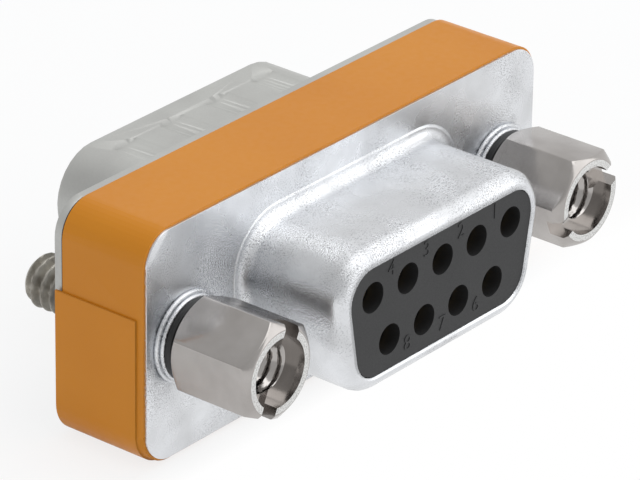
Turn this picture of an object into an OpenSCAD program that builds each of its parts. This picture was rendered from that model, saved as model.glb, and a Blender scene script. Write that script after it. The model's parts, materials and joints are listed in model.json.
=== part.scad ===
// Slim nine-way null modem adapter: socket connector in front, plug connector behind,
// a crossover board between them, and two captive jack screws through the ends.
// X runs along the connector, -Y is the socket side, +Y the plug side, +Z is up.
// The origin is on the connector axis, in the plane of the front flange's face.

/* [Contacts] */
// Distance between contacts in a row
pitch = 2.77; // [2.7:0.01:2.84]
// Distance between the two rows
row_gap = 2.84; // [2.7:0.01:2.95]
// Diameter of the pins
pin_d = 1.02; // [0.9:0.02:1.1]
// Diameter of the contact holes
hole_d = 1.65; // [1.5:0.05:1.9]
// Outer diameter of a socket contact's barrel
barrel_d = 1.5; // [1.4:0.05:1.6]
// Depth of the barrels behind the moulding's face
barrel_recess = 1; // [0.5:0.1:2]
// Width of the slit in a barrel
slit_w = 0.2; // [0.1:0.05:0.3]
// Length of the solid root of a barrel
barrel_root = 0.8; // [0.5:0.1:1.2]
// Depth of the pin tips inside the shell's mouth
pin_recess = 0.7; // [0.3:0.1:1.5]
// Diameter of the solder tails
tail_d = 0.6; // [0.5:0.05:0.7]
// Diameter of the solder pads on the board
pad_d = 1.6; // [1.4:0.1:1.8]
// Height of the solder pads
pad_t = 0.05; // [0.03:0.01:0.08]

/* [Body] */
// Flat flange beyond each eyelet's tube
end_web = 0.855; // [0.7:0.005:1.5]
// Flat flange above and below the plug shell's bend
flange_rim = 1.045; // [0.7:0.005:1.5]
// Corner radius of the flanges
flange_r = 1.75; // [1:0.05:2.6]
// Thickness of the drawn shell sheet
sheet = 0.45; // [0.35:0.01:0.6]
// Thickness of the body from front flange face to rear flange face
body_t = 5.95; // [5.85:0.05:9]
// Space between the plug shell's bend and an eyelet's rear head
head_gap = 0.59; // [0.4:0.01:1]
// Lean of the shells' short sides
lean = 10; // [5:1:12]
// Radius of the bend between shell and flange
bend_r = 0.6; // [0.4:0.05:0.8]

/* [Socket connector] */
// Socket shell beyond the outer contacts of its wide row
sock_side = 2.625; // [2.4:0.005:2.9]
// Socket shell above and below its rows
sock_over = 2.53; // [2.3:0.01:2.7]
// Corner radius of the socket shell
sock_r = 2.5; // [1.9:0.1:2.7]
// Length of the socket shell in front of its flange
sock_len = 6.17; // [5.8:0.01:8]
// Radius of the rolled nose of the socket shell
nose_r = 0.85; // [0.65:0.05:1]
// Depth of the moulding's face behind the nose
face_recess = 0.07; // [0.05:0.01:0.4]

/* [Plug connector] */
// Clearance at each end of a socket shell inside the plug shell
mate_side = 0.295; // [0.15:0.005:0.4]
// Clearance above and below a socket shell inside the plug shell
mate_over = 0.23; // [0.12:0.01:0.35]
// Corner radius inside the plug shell
mouth_r = 2.2; // [2.1:0.05:2.75]
// Length of the plug shell behind its flange
plug_len = 5.8; // [5.6:0.05:7]
// Height of the moulding's face above the flange
plug_face = 0.6; // [0.2:0.1:1]
// Distance between the pressed dimples
dimple_pitch = 3.6; // [3.2:0.1:3.8]
// Width of a dimple
dimple_w = 2; // [1.4:0.1:2.4]
// Depth of a dimple
dimple_depth = 0.22; // [0.1:0.01:0.3]
// Plain strip of shell between the dimples and the mouth
dimple_end = 1.2; // [0.9:0.1:2]
// Length of a dimple's sloping ends
dimple_ramp = 0.35; // [0.2:0.05:0.6]

/* [Mouldings and board] */
// Thickness of each moulding's shoulder
shoulder_t = 1.2; // [1:0.1:1.4]
// Overhang of the shoulder beyond the opening in the rear flange
shoulder_out = 0.2; // [0.1:0.05:0.3]
// Corner radius of the shoulders
shoulder_r = 2.5; // [1.5:0.1:3]
// Space between the shoulders and the spacer frame
window_gap = 0.15; // [0.1:0.05:0.2]
// Thickness of the crossover board
board_t = 1; // [0.8:0.1:1.2]
// Gap between parts that are fitted together
fit = 0.05; // [0.03:0.01:0.08]

/* [Wrap] */
// Thickness of the wrap's film
film = 0.12; // [0.08:0.01:0.2]
// Strip of the front flange's edge left bare
bare_front = 0.15; // [0.05:0.01:0.4]
// Strip of the rear flange's edge left bare
bare_rear = 0.6; // [0.45:0.01:0.8]
// Height at which the overlapping end starts
lap_z = 1.8; // [0:0.1:3]
// Length of the overlap along the underside
lap_under = 3.4; // [2.5:0.1:6]
// Backward shift of the overlapping end
lap_shift = 0.4; // [0.1:0.01:0.45]

/* [Jack screws] */
// Outer diameter of the eyelet's tube
eyelet_d = 4.1; // [3.8:0.1:4.4]
// Wall of the eyelet's tube
eyelet_wall = 0.5; // [0.4:0.05:0.6]
// Overhang of the eyelet's front collar beyond its tube
collar_lip = 0.4; // [0.3:0.05:0.6]
// Step between the two rolled beads of the collar
bead_step = 0.15; // [0.05:0.05:0.25]
// Height of the eyelet's front collar
collar_t = 0.5; // [0.4:0.05:0.7]
// Overhang of the eyelet's rear head beyond its tube
clench_lip = 0.35; // [0.25:0.05:0.6]
// Thickness of the eyelet's rear head
clench_t = 0.35; // [0.25:0.05:0.5]
// Length of the eyelet's tapped throat
throat_len = 0.9; // [0.6:0.1:1.4]
// Diameter of the tapped throat
throat_d = 2.36; // [2.3:0.01:2.4]
// Clearance round the screw's neck
neck_gap = 0.07; // [0.05:0.01:0.1]
// Outer diameter of the washer
washer_d = 4.4; // [4:0.1:4.6]
// Thickness of the washer
washer_t = 0.35; // [0.25:0.05:0.6]
// Size of the hexagon across its flats
hex_af = 4.9; // [4.7:0.05:5.2]
// Distance from the flange's face to the front of the hexagon
hex_front = 6; // [5.8:0.05:8]
// Diameter of the flat rim in front
rim_d = 4.5; // [4.1:0.05:4.6]
// Diameter of the flat behind the hexagon
back_d = 4.3; // [3.8:0.05:4.6]
// Slope of the hexagon's chamfers
chamfer = 40; // [30:1:45]
// Diameter of the counterbore
counterbore_d = 3.7; // [3.2:0.05:3.8]
// Depth of the counterbore
counterbore_depth = 0.8; // [0.4:0.1:1.2]
// Diameter of the tapped hole
tapped_d = 2.4; // [2.2:0.05:2.5]
// Depth of the tapped hole behind the counterbore
tapped_depth = 3.6; // [3:0.1:3.8]
// Width of the screwdriver slot
slot_w = 1.1; // [0.8:0.05:1.3]
// Depth of the screwdriver slot
slot_depth = 1; // [0.6:0.05:1.3]
// Outer diameter of the threaded end
stud_d = 2.84; // [2.7:0.01:2.95]
// Length of the threaded end
stud_len = 2.5; // [2:0.1:6]
// Bevel at both ends of the thread
stud_bevel = 0.35; // [0.2:0.05:0.5]
// Endwise float of the captive screws
float = 0.8; // [0.3:0.1:1.2]
// Turn of the left hexagon as it was left
left_turn = 12; // [0:1:59]
// Turn of the right hexagon as it was left
right_turn = 17; // [0:1:59]
// Turn of the left slot as it was left
left_slot = 24; // [0:1:179]
// Turn of the right slot as it was left
right_slot = 66; // [0:1:179]

/* [Hidden] */
$fn = 48;
arc_n = 8;
bend_n = 4;
gap = 0.02;
dimples = 4;
// Cuts reach this far past the solid they open
past = 1;
// Flat strip that the swept bend ends in, where it meets the flange's plate
strip = 0.2;

five_row = [for (i = [-2:2]) [i * pitch, row_gap / 2]];
four_row = [for (i = [-1.5:1.5]) [i * pitch, -row_gap / 2]];
contacts = concat(five_row, four_row);

// Outside of the socket shell, then inside and outside of the plug shell that such a socket fits
sock_w = 4 * pitch + 2 * sock_side;
sock_h = row_gap + 2 * sock_over;
mouth_w = sock_w + 2 * mate_side;
mouth_h = sock_h + 2 * mate_over;
plug_w = mouth_w + 2 * sheet;
plug_h = mouth_h + 2 * sheet;
plug_r = mouth_r + sheet;
bend_out = bend_r + sheet;
edge_r = sheet / 2;

eyelet_bore = eyelet_d - 2 * eyelet_wall;
collar_d = eyelet_d + 2 * collar_lip;
clench_d = eyelet_d + 2 * clench_lip;
screw_x = plug_w / 2 + bend_r + head_gap + clench_d / 2;
flange_w = 2 * (screw_x + eyelet_d / 2 + end_web);
flange_h = plug_h + 2 * (bend_r + flange_rim);

// Places along Y of what lies between the flanges
gap_front = sheet;
gap_rear = body_t - sheet;
board_y = body_t / 2 - board_t / 2;
tail_end = board_y - pad_t - gap;
seat = -sheet - shoulder_t;

shoulder_w = plug_w + 2 * (bend_r + shoulder_out);
shoulder_h = plug_h + 2 * (bend_r + shoulder_out);
window_w = shoulder_w + 2 * window_gap;
window_h = shoulder_h + 2 * window_gap;
window_r = shoulder_r + window_gap;

neck_d = throat_d - 2 * neck_gap;
hex_back = collar_t + washer_t + 2 * gap;
stud_start = body_t + clench_t + float + gap;

// Both connectors are drawn facing +Z with the wide side towards +Y, then placed with it on top
module socket_side() {
    rotate([90, 0, 0]) children();
}

module plug_side() {
    translate([0, body_t, 0]) rotate([90, 0, 180]) children();
}

// An outline in X and Z, drawn out along Y from one place to another
module along(from, to) {
    translate([0, to, 0]) rotate([90, 0, 0]) linear_extrude(to - from) children();
}

// Centres of the four corner arcs of a shell outline, wide side first
function centres(w, h, r) = let (x = w / 2 - r, y = h / 2 - r, in = (h - 2 * r) * tan(lean))
    [[x, y], [-x, y], [-x + in, -y], [x - in, -y]];

// Where each corner arc starts and ends
function arc_from(k) = [-lean, 90, 180 + lean, 270][k];
function arc_to(k) = [90, 180 + lean, 270, 360 - lean][k];

// The shell outline, moved outwards by out
function outline(w, h, r, out) = let (c = centres(w, h, r))
    [for (k = [0:3], i = [0:arc_n]) let (a = arc_from(k) + (arc_to(k) - arc_from(k)) * i / arc_n)
        c[k] + (r + out) * [cos(a), sin(a)]];

module d_shape(w, h, r, out = 0) {
    c = centres(w, h, r);
    s = r + out;
    for (k = [0:3]) translate(c[k]) circle(s);
    polygon([for (k = [0:3], a = [arc_from(k), arc_to(k)]) c[k] + s * [cos(a), sin(a)]]);
}

module rounded(w, h, r) {
    square([w - 2 * r, h], center = true);
    square([w, h - 2 * r], center = true);
    for (x = [-1, 1], y = [-1, 1]) translate([x * (w / 2 - r), y * (h / 2 - r)]) circle(r);
}

// A section of [outward, up] points carried round the shell outline
module swept(w, h, r, section) {
    n = 4 * (arc_n + 1);
    m = len(section);
    points = [for (s = section, p = outline(w, h, r, s[0])) [p[0], p[1], s[1]]];
    faces = [for (j = [0:m - 1], i = [0:n - 1])
        [j * n + i, ((j + 1) % m) * n + i, ((j + 1) % m) * n + (i + 1) % n, j * n + (i + 1) % n]];
    polyhedron(points, faces, convexity = 6);
}

function bend(x, y, r, from, to) =
    [for (i = [0:bend_n]) let (a = from + (to - from) * i / bend_n) [x + r * cos(a), y + r * sin(a)]];

// Drawn sheet: out of the flange, round the bend, up the wall and over the nose
function socket_section() = concat(
    [[bend_r + strip, 0]],
    bend(bend_r, bend_r, bend_r, 270, 180),
    bend(-nose_r, sock_len - nose_r, nose_r, 0, 90),
    bend(-nose_r, sock_len - nose_r, nose_r - sheet, 90, 0),
    bend(bend_r, bend_r, bend_out, 180, 270),
    [[bend_r + strip, -sheet]]);

function plug_section() = concat(
    [[bend_r + strip, 0]],
    bend(bend_r, bend_r, bend_r, 270, 180),
    bend(-edge_r, plug_len - edge_r, edge_r, 0, 180),
    bend(bend_r, bend_r, bend_out, 180, 270),
    [[bend_r + strip, -sheet]]);

module flange(w, h, r) {
    translate([0, 0, -sheet]) linear_extrude(sheet) difference() {
        rounded(flange_w, flange_h, flange_r);
        polygon(outline(w, h, r, bend_r + strip));
        for (x = [-1, 1]) translate([x * screw_x, 0]) circle(d = eyelet_d + 2 * gap);
    }
}

// Each shell is one drawn sheet; its plate and its skirt meet face to face round the bend
module socket_flange() {
    color("gainsboro") socket_side() flange(sock_w, sock_h, sock_r);
}

module socket_shell() {
    color("gainsboro") socket_side() swept(sock_w, sock_h, sock_r, socket_section());
}

module plug_flange() {
    color("silver") plug_side() flange(plug_w, plug_h, plug_r);
}

// A long dent with sloping ends, cut from above into a wall whose top is at Y = top
module dent(top) {
    r = (dimple_w * dimple_w / 4 + dimple_depth * dimple_depth) / (2 * dimple_depth);
    length = plug_len - bend_r - dimple_end;
    translate([0, top + r - dimple_depth, bend_r]) {
        cylinder(r1 = r - dimple_depth, r2 = r, h = dimple_ramp);
        translate([0, 0, dimple_ramp]) cylinder(r = r, h = length - 2 * dimple_ramp);
        translate([0, 0, length - dimple_ramp])
            cylinder(r1 = r, r2 = r - dimple_depth, h = dimple_ramp);
    }
}

module dents(top) {
    for (i = [0:dimples - 1], side = [0, 1])
        mirror([0, side, 0]) translate([(i - (dimples - 1) / 2) * dimple_pitch, 0, 0]) dent(top);
}

module plug_shell() {
    color("silver") plug_side() difference() {
        union() {
            swept(plug_w, plug_h, plug_r, plug_section());
            intersection() {
                dents(plug_h / 2 - sheet);
                linear_extrude(plug_len) d_shape(plug_w, plug_h, plug_r, -edge_r);
            }
        }
        dents(plug_h / 2);
    }
}

module shoulder() {
    translate([0, 0, seat]) linear_extrude(shoulder_t) rounded(shoulder_w, shoulder_h, shoulder_r);
}

module socket_moulding() {
    face = sock_len - face_recess;
    color([0.22, 0.22, 0.23]) socket_side() difference() {
        union() {
            linear_extrude(face) d_shape(sock_w, sock_h, sock_r, -nose_r - fit);
            translate([0, 0, -sheet]) linear_extrude(sock_len - nose_r + sheet)
                d_shape(sock_w, sock_h, sock_r, -sheet - fit);
            shoulder();
        }
        for (c = contacts) translate([c[0], c[1], seat - past])
            cylinder(d = hole_d, h = face - seat + 2 * past);
    }
}

module plug_moulding() {
    color([0.16, 0.16, 0.17]) plug_side() difference() {
        union() {
            translate([0, 0, -sheet]) linear_extrude(plug_face + sheet)
                d_shape(mouth_w, mouth_h, mouth_r, -fit);
            shoulder();
        }
        for (c = contacts) translate([c[0], c[1], seat - past]) {
            cylinder(d = pin_d + 2 * gap, h = plug_face - seat + 2 * past);
            cylinder(d = hole_d, h = shoulder_t + past);
        }
    }
}

// The tail that runs from a contact's root to its pad on the board
module tail() {
    translate([0, 0, -tail_end]) cylinder(d = tail_d, h = tail_end + seat + gap);
}

// Contacts are counted from the right on the socket's face, and from the left on the plug's
module socket_contact(i) {
    front = sock_len - face_recess - barrel_recess;
    color("goldenrod") socket_side() translate([-contacts[i][0], contacts[i][1], 0]) {
        difference() {
            translate([0, 0, seat]) cylinder(d = barrel_d, h = front - seat);
            cylinder(d = pin_d + 2 * fit, h = front + past);
            translate([-slit_w / 2, -barrel_d, barrel_root]) cube([slit_w, 2 * barrel_d, front]);
        }
        translate([0, 0, seat]) cylinder(d = hole_d - 2 * gap, h = barrel_root);
        tail();
    }
}

module pin(i) {
    top = plug_len - pin_recess - pin_d / 2;
    color("gold") plug_side() translate([contacts[i][0], contacts[i][1], 0]) {
        translate([0, 0, top]) sphere(d = pin_d);
        translate([0, 0, seat]) cylinder(d = pin_d, h = top - seat);
        translate([0, 0, seat]) cylinder(d = hole_d - 2 * gap, h = shoulder_t - gap);
        tail();
    }
}

// The tails end on pads on both faces, and the crossing runs inside the board
module crossover_board() {
    color("seagreen") {
        along(board_y, board_y + board_t)
            rounded(window_w - 2 * fit, window_h - 2 * fit, window_r - fit);
        along(board_y - pad_t, board_y + board_t + pad_t)
            for (c = contacts) translate(c) circle(d = pad_d);
    }
}

module spacer_frame() {
    color([0.2, 0.2, 0.2]) along(gap_front, gap_rear) difference() {
        rounded(flange_w, flange_h, flange_r);
        rounded(window_w, window_h, window_r);
        for (x = [-1, 1]) translate([x * screw_x, 0]) circle(d = eyelet_d + 2 * gap);
    }
}

module wrap() {
    w = flange_w + 2 * film;
    h = flange_h + 2 * film;
    r = flange_r + film;
    front = bare_front;
    rear = body_t - bare_rear;
    color([0.85, 0.55, 0.24]) {
        along(front, rear) difference() {
            rounded(w, h, r);
            rounded(flange_w, flange_h, flange_r);
        }
        along(front + lap_shift, rear + lap_shift) intersection() {
            difference() {
                rounded(w + 2 * film, h + 2 * film, r + film);
                rounded(w, h, r);
            }
            translate([-w / 2 - film, -h / 2 - film]) square([lap_under, h / 2 + film + lap_z]);
        }
    }
}

// The eyelet clamps both flanges; its collar is rolled in two beads, and its far end is tapped
module eyelet(x) {
    back = body_t + clench_t;
    bead = collar_t / 4;
    outer = collar_d / 2;
    color("gainsboro") translate([x, 0, 0]) rotate([-90, 0, 0]) rotate_extrude() difference() {
        union() {
            translate([0, -2 * bead]) square([outer - bead, 2 * bead]);
            translate([outer - bead, -bead]) circle(bead);
            translate([0, -collar_t]) square([outer - bead_step - bead, collar_t]);
            translate([outer - bead_step - bead, -3 * bead]) circle(bead);
            square([eyelet_d / 2, back]);
            translate([0, body_t]) square([clench_d / 2, clench_t]);
        }
        translate([-past, -collar_t - past])
            square([eyelet_bore / 2 + past, back + collar_t + past - throat_len]);
        translate([-past, back - throat_len - past])
            square([throat_d / 2 + past, throat_len + 2 * past]);
        translate([-collar_d, -collar_t - past]) square([collar_d, back + collar_t + 2 * past]);
    }
}

module washer(x) {
    color([0.15, 0.15, 0.15]) translate([x, -collar_t - gap, 0]) rotate([90, 0, 0]) difference() {
        cylinder(d = washer_d, h = washer_t);
        translate([0, 0, -past]) cylinder(d = neck_d + 2 * neck_gap, h = washer_t + 2 * past);
    }
}

// Half section of the hexagon's chamfered envelope, as [radius, place along Y]
function envelope(corner) = let (reach = corner + gap, slope = tan(chamfer))
    [[0, -hex_front], [rim_d / 2, -hex_front], [reach, -hex_front + (reach - rim_d / 2) * slope],
     [reach, -hex_back - (reach - back_d / 2) * slope], [back_d / 2, -hex_back], [0, -hex_back]];

module jack_screw(x, turn, slot) {
    corner = hex_af / cos(30) / 2;
    end = stud_start + stud_len;
    color("silver") translate([x, 0, 0]) rotate([-90, 0, 0]) difference() {
        union() {
            intersection() {
                translate([0, 0, -hex_front]) rotate([0, 0, turn])
                    cylinder(r = corner, h = hex_front - hex_back, $fn = 6);
                rotate_extrude() polygon(envelope(corner));
            }
            translate([0, 0, -hex_back]) cylinder(d = neck_d, h = hex_back + stud_start);
            rotate_extrude() polygon([[0, stud_start], [neck_d / 2, stud_start],
                [stud_d / 2, stud_start + stud_bevel], [stud_d / 2, end - stud_bevel],
                [stud_d / 2 - stud_bevel, end], [0, end]]);
        }
        translate([0, 0, -hex_front - past]) cylinder(d = counterbore_d, h = counterbore_depth + past);
        translate([0, 0, -hex_front]) cylinder(d = tapped_d, h = counterbore_depth + tapped_depth);
        rotate([0, 0, slot]) translate([-slot_w / 2, -corner - past, -hex_front - past])
            cube([slot_w, 2 * (corner + past), slot_depth + past]);
    }
}

socket_flange();
socket_shell();
plug_flange();
plug_shell();
socket_moulding();
plug_moulding();
crossover_board();
spacer_frame();
wrap();
eyelet(-screw_x);  // eyelet_left
eyelet(screw_x);  // eyelet_right
washer(-screw_x);  // washer_left
washer(screw_x);  // washer_right
jack_screw(-screw_x, left_turn, left_slot);  // jack_screw_left
jack_screw(screw_x, right_turn, right_slot);  // jack_screw_right
socket_contact(0);  // socket_contact_1
socket_contact(1);  // socket_contact_2
socket_contact(2);  // socket_contact_3
socket_contact(3);  // socket_contact_4
socket_contact(4);  // socket_contact_5
socket_contact(5);  // socket_contact_6
socket_contact(6);  // socket_contact_7
socket_contact(7);  // socket_contact_8
socket_contact(8);  // socket_contact_9
pin(0);  // pin_1
pin(1);  // pin_2
pin(2);  // pin_3
pin(3);  // pin_4
pin(4);  // pin_5
pin(5);  // pin_6
pin(6);  // pin_7
pin(7);  // pin_8
pin(8);  // pin_9
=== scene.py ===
import json
import math

import bpy
from mathutils import Matrix, Vector


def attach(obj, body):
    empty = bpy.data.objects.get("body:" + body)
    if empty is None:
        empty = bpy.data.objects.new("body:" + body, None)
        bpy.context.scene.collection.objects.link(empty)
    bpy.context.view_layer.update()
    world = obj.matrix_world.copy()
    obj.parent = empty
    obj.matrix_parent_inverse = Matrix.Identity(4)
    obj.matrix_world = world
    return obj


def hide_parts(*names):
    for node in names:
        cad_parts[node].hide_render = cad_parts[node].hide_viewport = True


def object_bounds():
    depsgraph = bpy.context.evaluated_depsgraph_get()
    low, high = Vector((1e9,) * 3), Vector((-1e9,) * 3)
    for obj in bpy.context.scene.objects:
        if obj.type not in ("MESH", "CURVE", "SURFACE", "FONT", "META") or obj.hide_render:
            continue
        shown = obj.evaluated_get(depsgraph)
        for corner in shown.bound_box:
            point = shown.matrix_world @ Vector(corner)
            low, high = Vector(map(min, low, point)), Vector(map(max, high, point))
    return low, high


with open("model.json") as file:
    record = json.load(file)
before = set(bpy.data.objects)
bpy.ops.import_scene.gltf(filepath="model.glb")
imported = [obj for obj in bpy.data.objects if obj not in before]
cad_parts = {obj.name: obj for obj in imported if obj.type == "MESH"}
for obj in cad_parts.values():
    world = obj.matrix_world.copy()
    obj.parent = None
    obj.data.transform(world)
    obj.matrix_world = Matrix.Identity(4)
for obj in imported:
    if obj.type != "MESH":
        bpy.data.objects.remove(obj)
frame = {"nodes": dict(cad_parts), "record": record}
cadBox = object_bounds()
nodes = frame["nodes"]
mm = 0.001
bodies = frame["record"]["behaviour"]["bodies"]
bodyOf = {node: body for body, members in bodies.items() for node in members}
slotOf = {part["node"]: part["material_slot"] for part in frame["record"]["subparts"]}
print("frame loaded:", len(nodes), "nodes")

# camera, from the photograph: angles in degrees, distance and aim in mm, focal length in pixels
view = {"azimuth": -51.13, "elevation": 26.55, "roll": 0.90, "distance": 259.26,
        "aimRight": -1.36, "aimUp": 0.44, "focalPixels": 5129.2, "imageWidth": 640,
        "sensor": 36.0, "near": 0.01, "far": 20}


def addCamera(v):
    a, e, r = (math.radians(v[k]) for k in ("azimuth", "elevation", "roll"))
    back = Vector((math.sin(a) * math.cos(e), -math.cos(a) * math.cos(e), math.sin(e)))
    flatRight = Vector((math.cos(a), math.sin(a), 0))
    flatUp = back.cross(flatRight)
    right = flatRight * math.cos(r) + flatUp * math.sin(r)
    up = flatUp * math.cos(r) - flatRight * math.sin(r)
    aim = (right * v["aimRight"] + up * v["aimUp"]) * mm
    place = aim + back * v["distance"] * mm
    data = bpy.data.cameras.new("photoCamera")
    data.sensor_width = v["sensor"]
    data.lens = v["focalPixels"] * v["sensor"] / v["imageWidth"]
    data.clip_start = v["near"]
    data.clip_end = v["far"]
    camera = bpy.data.objects.new("photoCamera", data)
    bpy.context.scene.collection.objects.link(camera)
    camera.matrix_world = Matrix(((right.x, up.x, back.x, place.x), (right.y, up.y, back.y, place.y),
                                  (right.z, up.z, back.z, place.z), (0, 0, 0, 1)))
    bpy.context.scene.camera = camera


addCamera(view)
print("camera placed")


# shader helpers
def newMaterial(name, metallic=0):
    material = bpy.data.materials.new(name)
    material.use_nodes = True
    tree = material.node_tree
    shader = tree.nodes["Principled BSDF"]
    shader.inputs["Metallic"].default_value = metallic
    return material, tree, shader


def feed(tree, shader, **sockets):
    names = {"colour": "Base Color", "rough": "Roughness", "normal": "Normal"}
    for key, value in sockets.items():
        tree.links.new(value, shader.inputs[names[key]])


def addNode(tree, kind, **values):
    made = tree.nodes.new(kind)
    for key, value in values.items():
        setattr(made, key, value)
    return made


def objectCoords(tree, stretch=(1, 1, 1)):
    place = addNode(tree, "ShaderNodeTexCoord")
    mapping = addNode(tree, "ShaderNodeMapping")
    mapping.inputs["Scale"].default_value = stretch
    tree.links.new(place.outputs["Object"], mapping.inputs["Vector"])
    return mapping.outputs["Vector"]


def noise(tree, coords, scale, detail=2.0, roughness=0.5):
    made = addNode(tree, "ShaderNodeTexNoise")
    made.inputs["Scale"].default_value = scale
    made.inputs["Detail"].default_value = detail
    made.inputs["Roughness"].default_value = roughness
    tree.links.new(coords, made.inputs["Vector"])
    return made.outputs["Fac"]


def ramp(tree, value, stops):
    made = addNode(tree, "ShaderNodeValToRGB")
    elements = made.color_ramp.elements
    while len(elements) < len(stops):
        elements.new(0.5)
    for element, (place, colour) in zip(elements, stops):
        element.position = place
        element.color = (*colour, 1)
    tree.links.new(value, made.inputs["Fac"])
    return made.outputs["Color"]


def span(tree, value, low, high, newLow, newHigh):
    made = addNode(tree, "ShaderNodeMapRange")
    for key, number in (("From Min", low), ("From Max", high), ("To Min", newLow), ("To Max", newHigh)):
        made.inputs[key].default_value = number
    tree.links.new(value, made.inputs["Value"])
    return made.outputs["Result"]


# a noise keeps mostly to this part of its range
noiseLow, noiseHigh = 0.3, 0.7
cloudLow = 0.35


def spread(tree, value, newLow=0, newHigh=1):
    return span(tree, value, noiseLow, noiseHigh, newLow, newHigh)


def cloudMask(tree, cloud):
    return span(tree, cloud, cloudLow, noiseHigh, 0, 1)


# strength, and depth in mm
def bump(tree, height, strength, depth, normal=None):
    made = addNode(tree, "ShaderNodeBump")
    made.inputs["Strength"].default_value = strength
    made.inputs["Distance"].default_value = depth * mm
    tree.links.new(height, made.inputs["Height"])
    if normal is not None:
        tree.links.new(normal, made.inputs["Normal"])
    return made.outputs["Normal"]


# inputs 6 and 7 and output 2 are the mix node's colour sockets
def mixColours(tree, fac, first, second, mode="MIX"):
    made = addNode(tree, "ShaderNodeMix", data_type="RGBA", blend_type=mode)
    tree.links.new(fac, made.inputs["Factor"])
    for socket, colour in ((made.inputs[6], first), (made.inputs[7], second)):
        if isinstance(colour, bpy.types.NodeSocket):
            tree.links.new(colour, socket)
        else:
            socket.default_value = (*colour, 1)
    return made.outputs[2]


def calculate(tree, operation, first, second):
    made = addNode(tree, "ShaderNodeMath", operation=operation)
    tree.links.new(first, made.inputs[0])
    tree.links.new(second, made.inputs[1])
    return made.outputs[0]


# bright tin plate on drawn sheet: pale, finely speckled, slightly wavy
tin = {"colour": (0.76, 0.775, 0.80), "dull": (0.64, 0.65, 0.665), "speck": (0.48, 0.48, 0.49),
       "cloud": 420, "grain": 13000, "grainRough": 0.6, "patch": 260, "wave": 200,
       "speckBand": (0.34, 0.48), "speckPatch": (0.42, 0.60, 0.1, 1), "sparklePatch": (0.40, 0.62, 0.2, 1),
       "rough": (0.20, 0.34), "waveBump": (0.25, 0.04), "sparkleBump": (1, 0.04)}


def tinPlate():
    material, tree, shader = newMaterial("tinPlate", 1)
    coords = objectCoords(tree)
    cloud = noise(tree, coords, tin["cloud"], 3)
    grain = noise(tree, coords, tin["grain"], 2, tin["grainRough"])
    colour = mixColours(tree, cloudMask(tree, cloud), tin["colour"], tin["dull"])
    # the sparkle comes and goes in patches
    patch = noise(tree, coords, tin["patch"], 2)
    darkest, clear = tin["speckBand"]
    specks = ramp(tree, grain, [(darkest, tin["speck"]), (clear, (1, 1, 1))])
    colour = mixColours(tree, span(tree, patch, *tin["speckPatch"]), colour, specks, "MULTIPLY")
    wavy = bump(tree, noise(tree, coords, tin["wave"], 1), *tin["waveBump"])
    sparkle = calculate(tree, "MULTIPLY", span(tree, grain, 0, 1, -0.5, 0.5),
                        span(tree, patch, *tin["sparklePatch"]))
    feed(tree, shader, colour=colour, rough=spread(tree, cloud, *tin["rough"]),
         normal=bump(tree, sparkle, *tin["sparkleBump"], wavy))
    return material


# satin plate on the plug side: matt grey, hardly any grain
satin = {"colour": (0.56, 0.565, 0.545), "dark": (0.49, 0.49, 0.475), "cloud": 250, "grain": 7000,
         "rough": (0.46, 0.56), "bump": (0.25, 0.006)}


def satinPlate():
    material, tree, shader = newMaterial("satinPlate", 1)
    coords = objectCoords(tree)
    cloud = noise(tree, coords, satin["cloud"], 3)
    grain = noise(tree, coords, satin["grain"], 2)
    feed(tree, shader, colour=mixColours(tree, cloudMask(tree, cloud), satin["colour"], satin["dark"]),
         rough=spread(tree, grain, *satin["rough"]), normal=bump(tree, grain, *satin["bump"]))
    return material


# nickel on the turned screws: warm grey, with faint turning lines round the axis
nickel = {"colour": (0.45, 0.43, 0.415), "dark": (0.38, 0.36, 0.345), "cloud": 500,
          "lines": (300, 9000, 300), "rough": (0.12, 0.22), "bump": (0.12, 0.006)}


def nickelPlate():
    material, tree, shader = newMaterial("nickelPlate", 1)
    cloud = noise(tree, objectCoords(tree), nickel["cloud"], 3)
    lines = noise(tree, objectCoords(tree, nickel["lines"]), 1, 2)
    feed(tree, shader, colour=mixColours(tree, cloudMask(tree, cloud), nickel["colour"], nickel["dark"]),
         rough=spread(tree, cloud, *nickel["rough"]), normal=bump(tree, lines, *nickel["bump"]))
    return material


# the screws' front faces, left rough and bright by the lathe
front = {"colour": (0.80, 0.80, 0.79), "dark": (0.42, 0.42, 0.41), "grain": 14000, "grainRough": 0.7,
         "band": (0.40, 0.54), "rough": 0.45, "bump": (0.8, 0.01)}


def facedMetal():
    material, tree, shader = newMaterial("facedMetal", 1)
    grain = noise(tree, objectCoords(tree), front["grain"], 2, front["grainRough"])
    low, high = front["band"]
    shader.inputs["Roughness"].default_value = front["rough"]
    feed(tree, shader, colour=ramp(tree, grain, [(low, front["dark"]), (high, front["colour"])]),
         normal=bump(tree, grain, *front["bump"]))
    return material


# dull plating on the threaded ends, mottled
dull = {"stops": [(0.3, (0.20, 0.185, 0.16)), (0.5, (0.40, 0.38, 0.34)), (0.72, (0.58, 0.56, 0.51))],
        "cloud": 900, "rough": (0.40, 0.55)}


def dullThread():
    material, tree, shader = newMaterial("dullThread", 1)
    cloud = noise(tree, objectCoords(tree), dull["cloud"], 3)
    feed(tree, shader, colour=ramp(tree, cloud, dull["stops"]), rough=spread(tree, cloud, *dull["rough"]))
    return material


# plain mouldings: a fine matt skin with soft changes of shade
darkMoulding = {"colour": (0.018, 0.0185, 0.0195), "shade": (0.013, 0.0135, 0.0145), "rough": 0.55}
blackMoulding = {"colour": (0.010, 0.010, 0.011), "shade": (0.007, 0.007, 0.008), "rough": 0.45}
mould = {"cloud": 300, "skin": 12000, "roughSpread": 0.06, "bump": (0.3, 0.006)}


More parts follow.
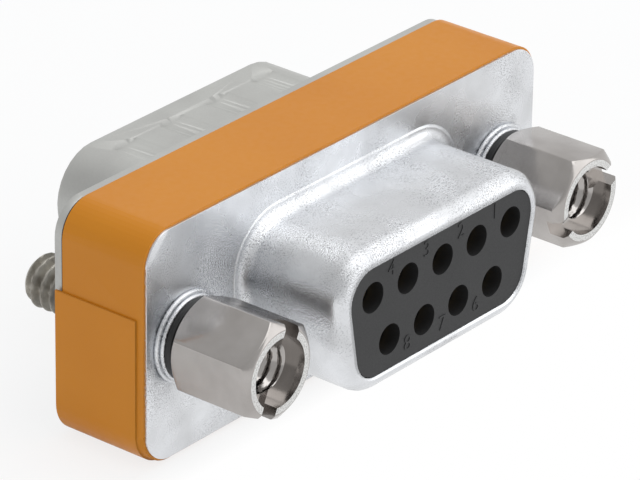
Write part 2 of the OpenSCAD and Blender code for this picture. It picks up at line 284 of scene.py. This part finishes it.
def moulding(name, m):
    material, tree, shader = newMaterial(name)
    coords = objectCoords(tree)
    cloud = noise(tree, coords, mould["cloud"], 3)
    grain = noise(tree, coords, mould["skin"], 2)
    rough = spread(tree, grain, m["rough"] - mould["roughSpread"], m["rough"] + mould["roughSpread"])
    feed(tree, shader, colour=mixColours(tree, spread(tree, cloud), m["colour"], m["shade"]), rough=rough,
         normal=bump(tree, grain, *mould["bump"]))
    return material


# orange film: even colour, a satin face and a very slight orange peel
film = {"colour": (0.68, 0.250, 0.010), "shade": (0.64, 0.225, 0.007), "cloud": 120, "peel": 2500,
        "rough": 0.38, "roughSpread": 0.05, "shine": 0.32, "bump": (0.12, 0.008)}


def orangeFilm():
    material, tree, shader = newMaterial("orangeFilm")
    coords = objectCoords(tree)
    cloud = noise(tree, coords, film["cloud"], 2)
    peel = noise(tree, coords, film["peel"], 2)
    rough = spread(tree, peel, film["rough"] - film["roughSpread"], film["rough"] + film["roughSpread"])
    shader.inputs["Specular IOR Level"].default_value = film["shine"]
    feed(tree, shader, colour=mixColours(tree, spread(tree, cloud), film["colour"], film["shade"]),
         rough=rough, normal=bump(tree, peel, *film["bump"]))
    return material


# gold flash on the contacts
gold = {"stops": [(0.3, (0.55, 0.36, 0.12)), (0.7, (0.83, 0.62, 0.27))], "cloud": 1200, "rough": (0.2, 0.35)}


def contactGold():
    material, tree, shader = newMaterial("contactGold", 1)
    cloud = noise(tree, objectCoords(tree), gold["cloud"], 3)
    feed(tree, shader, colour=ramp(tree, cloud, gold["stops"]), rough=spread(tree, cloud, *gold["rough"]))
    return material


# glass-epoxy board under green lacquer, its weave just showing
board = {"dark": (0.015, 0.12, 0.05), "light": (0.03, 0.20, 0.08), "weave": 4000, "rough": 0.3}


def boardLacquer():
    material, tree, shader = newMaterial("boardLacquer")
    weave = addNode(tree, "ShaderNodeTexBrick")
    weave.inputs["Scale"].default_value = board["weave"]
    tree.links.new(objectCoords(tree), weave.inputs["Vector"])
    shader.inputs["Roughness"].default_value = board["rough"]
    feed(tree, shader, colour=mixColours(tree, weave.outputs["Fac"], board["dark"], board["light"]))
    return material


finishes = {
    "tinned_steel": tinPlate(), "satin_steel": satinPlate(), "nickel": nickelPlate(),
    "dark_plastic": moulding("darkMoulding", darkMoulding),
    "black_plastic": moulding("blackMoulding", blackMoulding),
    "orange_film": orangeFilm(), "contact_metal": contactGold(), "board": boardLacquer(),
    "thread": dullThread(), "screwFront": facedMetal(),
}
for name, obj in nodes.items():
    obj.data.materials.clear()
    obj.data.materials.append(finishes[slotOf[name]])
print("finishes set:", len(finishes))

# modelling helpers: vertices closer than this, in mm, are one
joinDistance = 0.002


def pick(piece):
    bpy.ops.object.select_all(action="DESELECT")
    piece.select_set(True)
    bpy.context.view_layer.objects.active = piece


def modifier(piece, kind, **values):
    pick(piece)
    made = piece.modifiers.new(kind.lower(), kind)
    for key, value in values.items():
        setattr(made, key, value)
    bpy.ops.object.modifier_apply(modifier=made.name)


def soften(piece, width, angle):
    modifier(piece, "BEVEL", width=width * mm, segments=2, limit_method="ANGLE",
             angle_limit=math.radians(angle))


def combine(piece, tool, operation):
    modifier(piece, "BOOLEAN", object=tool, operation=operation, solver="EXACT")
    bpy.data.objects.remove(tool)


def settle(piece, angle):
    pick(piece)
    bpy.ops.object.transform_apply(location=True, rotation=True, scale=True)
    bpy.ops.object.shade_smooth_by_angle(angle=math.radians(angle))


# on the active piece: joins its vertices, closes open ends if asked, and turns its faces outward
def mend(distance, closeEnds=False):
    bpy.ops.object.mode_set(mode="EDIT")
    bpy.ops.mesh.select_all(action="SELECT")
    bpy.ops.mesh.remove_doubles(threshold=distance * mm)
    if closeEnds:
        bpy.ops.mesh.select_all(action="SELECT")
        bpy.ops.mesh.fill_holes(sides=0)
        bpy.ops.mesh.select_all(action="SELECT")
    bpy.ops.mesh.normals_make_consistent(inside=False)
    bpy.ops.object.mode_set(mode="OBJECT")


# stamped and rolled CAD pieces: same shape, with joined facets, smooth shading and softened edges;
# smooth below this angle in degrees, edge in mm, and normals weighted by face where evened
skins = {
    "socket_flange": {"angle": 30, "edge": 0.05, "evened": True},
    "plug_flange": {"angle": 30, "edge": 0.04, "evened": True},
    "socket_shell": {"angle": 50, "edge": 0, "evened": False},
    "plug_shell": {"angle": 17, "edge": 0, "evened": True},
    "eyelet_left": {"angle": 50, "edge": 0, "evened": False},
    "eyelet_right": {"angle": 50, "edge": 0, "evened": False},
    "washer_left": {"angle": 40, "edge": 0.04, "evened": True},
    "washer_right": {"angle": 40, "edge": 0.04, "evened": True},
    "wrap": {"angle": 30, "edge": 0, "evened": True},
}
skinBevelAngle = 40


def skin(node, s):
    piece = bpy.data.objects.new(node + "_skin", nodes[node].data.copy())
    bpy.context.scene.collection.objects.link(piece)
    pick(piece)
    mend(joinDistance)
    if s["edge"]:
        soften(piece, s["edge"], skinBevelAngle)
    settle(piece, s["angle"])
    if s["evened"]:
        modifier(piece, "WEIGHTED_NORMAL", mode="FACE_AREA", weight=50, keep_sharp=True)
    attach(piece, bodyOf[node])
    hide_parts(node)


for node, settings in skins.items():
    skin(node, settings)
print("skins made:", len(skins))


# turned solids: a disc drawn up and scaled ring by ring, [radius, height] each
def turned(name, rings, segments=64):
    radius, height = rings[0]
    bpy.ops.mesh.primitive_circle_add(vertices=segments, radius=radius * mm, fill_type="NGON",
                                      location=(0, 0, height * mm))
    piece = bpy.context.object
    piece.name = name
    bpy.ops.object.transform_apply(location=True)
    bpy.ops.object.mode_set(mode="EDIT")
    bpy.ops.mesh.select_all(action="SELECT")
    for nextRadius, nextHeight in rings[1:]:
        rise = (0, 0, (nextHeight - height) * mm)
        bpy.ops.mesh.extrude_region_move(TRANSFORM_OT_translate={"value": rise})
        scale = nextRadius / radius
        bpy.ops.transform.resize(value=(scale, scale, 1), center_override=(0, 0, 0))
        radius, height = nextRadius, nextHeight
    bpy.ops.mesh.select_all(action="SELECT")
    bpy.ops.mesh.normals_make_consistent(inside=False)
    bpy.ops.object.mode_set(mode="OBJECT")
    return piece


# 4-40 thread: its ridge rises this steeply from a flat bottom to a flat crest, 0 to 1
thread = {"pitch": 0.635, "major": 1.42, "steepness": 1.35, "bottom": 0.15}


# threaded rod: a grid wrapped round the axis, its radius following the thread's ridge
def threaded(name, t):
    rows = round((t["end"] - t["start"]) / t["pitch"] * t["rowsPerTurn"])
    bpy.ops.mesh.primitive_grid_add(x_subdivisions=t["segments"], y_subdivisions=rows, size=2)
    rod = bpy.context.object
    rod.name = name
    for vertex in rod.data.vertices:
        turn = (vertex.co.x + 1) / 2
        height = t["start"] + (vertex.co.y + 1) / 2 * (t["end"] - t["start"])
        phase = (height / t["pitch"] + turn) % 1
        ridge = min(max(t["steepness"] * (1 - abs(2 * phase - 1)) - t["bottom"], 0), 1)
        radius = t["minor"] + (t["major"] - t["minor"]) * ridge
        for nearEnd in (height - t["start"], t["end"] - height):
            radius = min(radius, t["endRadius"] + nearEnd * t["endSlope"])
        angle = turn * 2 * math.pi
        vertex.co = Vector((radius * math.cos(angle), radius * math.sin(angle), height)) * mm
    mend(joinDistance, closeEnds=True)
    return rod


# jack screws: chamfered hexagon with counterbore, tapped hole and slot, a neck, and a threaded end;
# heights in mm along the axis from the front flange's face, the cutting tools start toolLead before it
screw = {"flats": 4.8, "front": -6.0, "back": -0.89, "rim": 2.25, "backFlat": 2.15, "chamfer": 38,
         "counterbore": 1.85, "counterboreDepth": 0.8, "slotWidth": 1.1, "slotDepth": 1.0,
         "neck": 1.11, "neckIntoBody": 0.3, "neckIntoStud": 0.2, "edge": 0.05, "edgeAngle": 20,
         "segments": 96, "pastCorner": 0.02, "barLength": 20, "slotLength": 8, "toolLead": 1,
         "cornerJoin": 0.01, "smooth": 35, "facing": 0.99, "frontDepth": 0.02}
tap = {**thread, "start": -7.0, "end": -1.6, "minor": 1.2, "rowsPerTurn": 10, "segments": 48,
       "endRadius": 1.2, "endSlope": 1.0}
stud = {**thread, "start": 7.12, "end": 9.62, "minor": 1.06, "rowsPerTurn": 14, "segments": 64,
        "endRadius": 1.07, "endSlope": 1.0}


# one screw along Z, its slot cut from flat to flat
def jackScrew():
    halfSide = math.radians(30)
    corner = screw["flats"] / 2 / math.cos(halfSide)
    slope = math.tan(math.radians(screw["chamfer"]))
    reach = corner + screw["pastCorner"]
    lead = screw["front"] - screw["toolLead"]
    body = turned("jackScrew", [
        (screw["rim"], screw["front"]), (reach, screw["front"] + (reach - screw["rim"]) * slope),
        (reach, screw["back"] - (reach - screw["backFlat"]) * slope), (screw["backFlat"], screw["back"])],
        screw["segments"])
    bpy.ops.mesh.primitive_cylinder_add(vertices=6, radius=corner * mm, depth=screw["barLength"] * mm,
                                        rotation=(0, 0, halfSide))
    combine(body, bpy.context.object, "INTERSECT")
    # the corners' slivers are joined up, or the bevel leaves holes there
    modifier(body, "WELD", merge_threshold=screw["cornerJoin"] * mm)
    soften(body, screw["edge"], screw["edgeAngle"])
    boreEnd = screw["front"] + screw["counterboreDepth"]
    combine(body, turned("counterboreTool", [(screw["counterbore"], lead), (screw["counterbore"], boreEnd)]),
            "DIFFERENCE")
    combine(body, threaded("tapTool", tap), "DIFFERENCE")
    bpy.ops.mesh.primitive_cube_add(size=1, location=(0, 0, (lead + screw["slotDepth"]) * mm))
    cutter = bpy.context.object
    cutter.scale = (screw["slotWidth"] * mm, screw["slotLength"] * mm, 2 * screw["toolLead"] * mm)
    combine(body, cutter, "DIFFERENCE")
    neckStart, neckEnd = screw["back"] - screw["neckIntoBody"], stud["start"] + screw["neckIntoStud"]
    combine(body, turned("neckTool", [(screw["neck"], neckStart), (screw["neck"], neckEnd)]), "UNION")
    end = threaded("studTool", stud)
    end.data.materials.append(finishes["thread"])
    looks = ["nickel", "thread", "screwFront"]
    for look in looks:
        body.data.materials.append(finishes[look])
    combine(body, end, "UNION")
    modifier(body, "WELD", merge_threshold=joinDistance * mm)
    for face in body.data.polygons:
        if face.normal.z < -screw["facing"] and face.center.z < (screw["front"] + screw["frontDepth"]) * mm:
            face.material_index = looks.index("screwFront")
    return body


# each side's place, and how far its slot has turned
sides = {"left": {"x": -12.5, "turn": 24}, "right": {"x": 12.5, "turn": 66}}
screwModel = jackScrew()
for side, placing in sides.items():
    piece = bpy.data.objects.new("jack_screw_%s_turned" % side, screwModel.data.copy())
    bpy.context.scene.collection.objects.link(piece)
    piece.rotation_euler = (math.radians(-90), math.radians(placing["turn"]), 0)
    piece.location = (placing["x"] * mm, 0, 0)
    settle(piece, screw["smooth"])
    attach(piece, "jack_screw_" + side)
    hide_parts("jack_screw_" + side)
print("jack screws made:", len(screwModel.data.polygons), "faces each")
bpy.data.objects.remove(screwModel)

# raised contact numbers beside the holes on the socket's face, counted from the right
digits = {"high": 0.85, "raised": 0.035, "face": -6.10, "pitch": 2.77, "row": 1.42, "aside": 1.32,
          "aboveTop": 1.05, "belowBottom": -0.8, "thin": -0.012, "fontHeight": 0.7, "curveSteps": 4,
          "join": 0.001, "smooth": 30,
          "top": {"numbers": (1, 2, 3, 4), "middle": 3}, "bottom": {"numbers": (6, 7, 8), "middle": 7.5}}


def addDigit(number, middle, z):
    x = (middle - number) * digits["pitch"] - digits["aside"]
    bpy.ops.object.text_add(location=(x * mm, digits["face"] * mm, z * mm), rotation=(math.radians(90), 0, 0))
    text = bpy.context.object
    text.data.body = str(number)
    text.data.align_x = "CENTER"
    text.data.align_y = "CENTER"
    text.data.size = digits["high"] * mm / digits["fontHeight"]
    text.data.extrude = digits["raised"] * mm
    text.data.offset = digits["thin"] * mm
    text.data.resolution_u = digits["curveSteps"]
    bpy.ops.object.convert(target="MESH")
    return bpy.context.object


topZ, bottomZ = digits["row"] + digits["aboveTop"], digits["belowBottom"] - digits["row"]
made = []
for row, z in ((digits["top"], topZ), (digits["bottom"], bottomZ)):
    made += [addDigit(number, row["middle"], z) for number in row["numbers"]]
numbers = made[0]
pick(numbers)
for piece in made[1:]:
    piece.select_set(True)
bpy.ops.object.join()
numbers.name = "socket_digits"
mend(digits["join"])
numbers.data.materials.clear()
numbers.data.materials.append(finishes["dark_plastic"])
settle(numbers, digits["smooth"])
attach(numbers, "adapter")
print("digits made:", len(made))

# floor, lamps and world
studio = {"floorSize": 3.0, "floorWhite": 0.97, "floorRough": 0.9, "shadowLeft": 0.2,
          "clearing": (0.02, 0.07), "metalDepth": (-0.002, 0.006), "metalBehind": 0.3,
          "ambient": 0.58, "ambientColour": (0.96, 0.98, 1.0),
          "sky": [(0.0, 0.58), (0.4, 0.70), (0.85, 0.86), (1.0, 1.0)],
          "key": {"place": (0.10, -0.10, 0.42), "size": (0.45, 0.45), "power": 0.85},
          "fill": {"place": (0.22, -0.34, 0.12), "size": (0.40, 0.40), "power": 0.5}}


def addLamp(name, settings):
    data = bpy.data.lights.new(name, "AREA")
    data.shape = "RECTANGLE"
    data.size, data.size_y = settings["size"]
    data.energy = settings["power"]
    lamp = bpy.data.objects.new(name, data)
    lamp.location = settings["place"]
    lamp.rotation_euler = (-Vector(settings["place"])).to_track_quat("-Z", "Y").to_euler()
    bpy.context.scene.collection.objects.link(lamp)


def cameraRay(tree):
    return addNode(tree, "ShaderNodeLightPath").outputs["Is Camera Ray"]


def backgroundRays(tree):
    rays = addNode(tree, "ShaderNodeLightPath")
    total = rays.outputs["Is Camera Ray"]
    for key in ("Is Glossy Ray", "Is Transmission Ray"):
        total = calculate(tree, "MAXIMUM", total, rays.outputs[key])
    return total


def mixShaders(tree, fac, first, second, output):
    mix = addNode(tree, "ShaderNodeMixShader")
    for socket, value in zip(mix.inputs, (fac, first, second)):
        tree.links.new(value, socket)
    tree.links.new(mix.outputs[0], tree.nodes[output].inputs["Surface"])


def addFloor():
    bpy.ops.mesh.primitive_plane_add(size=studio["floorSize"], location=(0, 0, cadBox[0][2]))
    floor = bpy.context.object
    floor.name = "floor"
    material, tree, shader = newMaterial("paleFloor")
    shader.inputs["Base Color"].default_value = (studio["floorWhite"],) * 3 + (1,)
    shader.inputs["Roughness"].default_value = studio["floorRough"]
    shader.inputs["Specular IOR Level"].default_value = 0
    # far off the floor is plain white; near the object its shadow shows faintly,
    # and in metal more so behind it
    coords = objectCoords(tree)
    away = addNode(tree, "ShaderNodeVectorMath", operation="LENGTH")
    tree.links.new(coords, away.inputs[0])
    depth = addNode(tree, "ShaderNodeSeparateXYZ")
    tree.links.new(coords, depth.inputs[0])
    metalSees = span(tree, depth.outputs["Y"], *studio["metalDepth"], 1, studio["metalBehind"])
    cameraSees = span(tree, cameraRay(tree), 0, 1, 0, 1 - studio["shadowLeft"])
    farOff = span(tree, away.outputs["Value"], *studio["clearing"], 0, 1)
    whiteness = calculate(tree, "MAXIMUM", farOff, calculate(tree, "MAXIMUM", metalSees, cameraSees))
    fac = calculate(tree, "MULTIPLY", whiteness, backgroundRays(tree))
    white = addNode(tree, "ShaderNodeEmission")
    mixShaders(tree, fac, shader.outputs[0], white.outputs[0], "Material Output")
    floor.data.materials.append(material)


def setWorld():
    world = bpy.data.worlds.new("studioWorld")
    bpy.context.scene.world = world
    world.use_nodes = True
    tree = world.node_tree
    ambient = tree.nodes["Background"]
    ambient.inputs["Color"].default_value = (*studio["ambientColour"], 1)
    ambient.inputs["Strength"].default_value = studio["ambient"]
    seen = addNode(tree, "ShaderNodeBackground")
    seen.inputs["Strength"].default_value = 1
    # metal sees white on the right of the studio and grey on the left
    across = addNode(tree, "ShaderNodeSeparateXYZ")
    tree.links.new(addNode(tree, "ShaderNodeTexCoord").outputs["Generated"], across.inputs[0])
    walls = ramp(tree, span(tree, across.outputs["X"], -1, 1, 0, 1),
                 [(place, (shade,) * 3) for place, shade in studio["sky"]])
    tree.links.new(mixColours(tree, cameraRay(tree), walls, (1, 1, 1)), seen.inputs["Color"])
    mixShaders(tree, backgroundRays(tree), ambient.outputs[0], seen.outputs[0], "World Output")


addFloor()
addLamp("keyLamp", studio["key"])
addLamp("fillLamp", studio["fill"])
setWorld()
bpy.context.scene.view_settings.view_transform = "Standard"
print("studio built")
